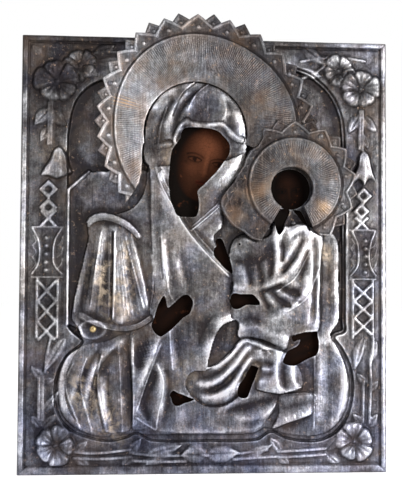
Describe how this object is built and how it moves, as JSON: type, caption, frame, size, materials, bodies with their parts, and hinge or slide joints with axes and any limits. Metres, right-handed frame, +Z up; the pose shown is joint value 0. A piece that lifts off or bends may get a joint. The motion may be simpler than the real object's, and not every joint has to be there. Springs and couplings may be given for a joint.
{
  "type": "religious icon",
  "caption": "Wooden icon panel in a chased metal cover with windows over the painted parts, two toothed halo plates, battens and a hanging ring at the back.",
  "frame": {"origin": "middle of the flat underside of the cover's lower flange, on which the icon stands", "axes": "+Z up along the panel's height, -Y out of the painted side towards the viewer, +X to the viewer's right"},
  "size_m": [0.2244, 0.0454, 0.2777],
  "materials": {
    "cover_silver": "satin",
    "halo_silver": "satin",
    "nail_silver": "satin",
    "brass": "satin",
    "painted_ground": "satin",
    "linen": "matte",
    "board_wood": "matte",
    "batten_wood": "matte",
    "iron": "matte"
  },
  "bodies": {
    "icon": {"cover_sheet": "cover_silver", "large_halo": "halo_silver", "small_halo": "halo_silver", "large_halo_nail_1": "nail_silver", "large_halo_nail_2": "nail_silver", "large_halo_nail_3": "nail_silver", "small_halo_nail_1": "nail_silver", "small_halo_nail_2": "nail_silver", "brass_nail": "brass", "collar_pin": "nail_silver", "flange_nail_left_1": "nail_silver", "flange_nail_left_2": "nail_silver", "flange_nail_left_3": "nail_silver", "flange_nail_left_4": "nail_silver", "flange_nail_right_1": "nail_silver", "flange_nail_right_2": "nail_silver", "flange_nail_right_3": "nail_silver", "flange_nail_right_4": "nail_silver", "flange_nail_top_1": "nail_silver", "flange_nail_top_2": "nail_silver", "flange_nail_top_3": "nail_silver", "painted_ground": "painted_ground", "linen_underlay": "linen", "board_plank_wide": "board_wood", "board_plank_narrow": "board_wood", "batten_upper": "batten_wood", "batten_lower": "batten_wood", "hanging_staple": "iron"},
    "ring": {"hanging_ring": "iron"}
  },
  "joints": [
    {"name": "ring_swing", "type": "hinge", "parent": "icon", "child": "ring", "pos_m": [0, 0.0228, 0.2475], "axis": [1, 0, 0], "range_deg": [-4, 184]}
  ]
}
